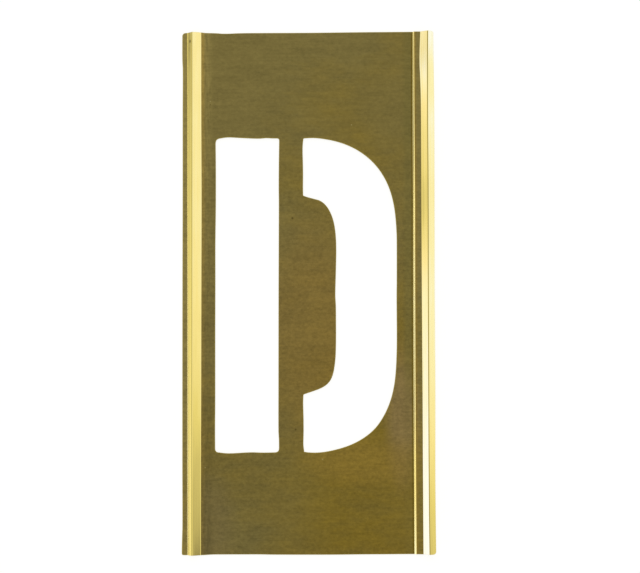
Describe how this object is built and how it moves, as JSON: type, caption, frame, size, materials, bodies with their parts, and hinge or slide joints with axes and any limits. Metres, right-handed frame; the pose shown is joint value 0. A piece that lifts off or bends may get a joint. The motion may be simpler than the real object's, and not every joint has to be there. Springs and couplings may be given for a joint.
{
  "type": "lettering stencil",
  "caption": "Thin sheet brass stencil plate with a cut-through letter opening and folded ridges along both long edges that nest with the next plate.",
  "frame": {"origin": "middle of the stencil's footprint, at the height of its flat back", "axes": "+X across the letter to the right, +Y up the letter, +Z out of the face towards the person reading it"},
  "size_m": [0.0612, 0.1264, 0.002],
  "materials": {
    "tarnished_brass": "dull, tarnished olive brown, finely streaked",
    "burnished_brass": "rubbed bright on the ridges, satin"
  },
  "bodies": {
    "root": {"letter_plate": "tarnished_brass", "left_flange": "tarnished_brass", "left_outer_flank": "burnished_brass", "left_inner_flank": "burnished_brass", "right_step": "burnished_brass", "right_lap_band": "tarnished_brass", "right_inner_flank": "burnished_brass", "right_outer_flank": "burnished_brass"}
  },
  "joints": []
}
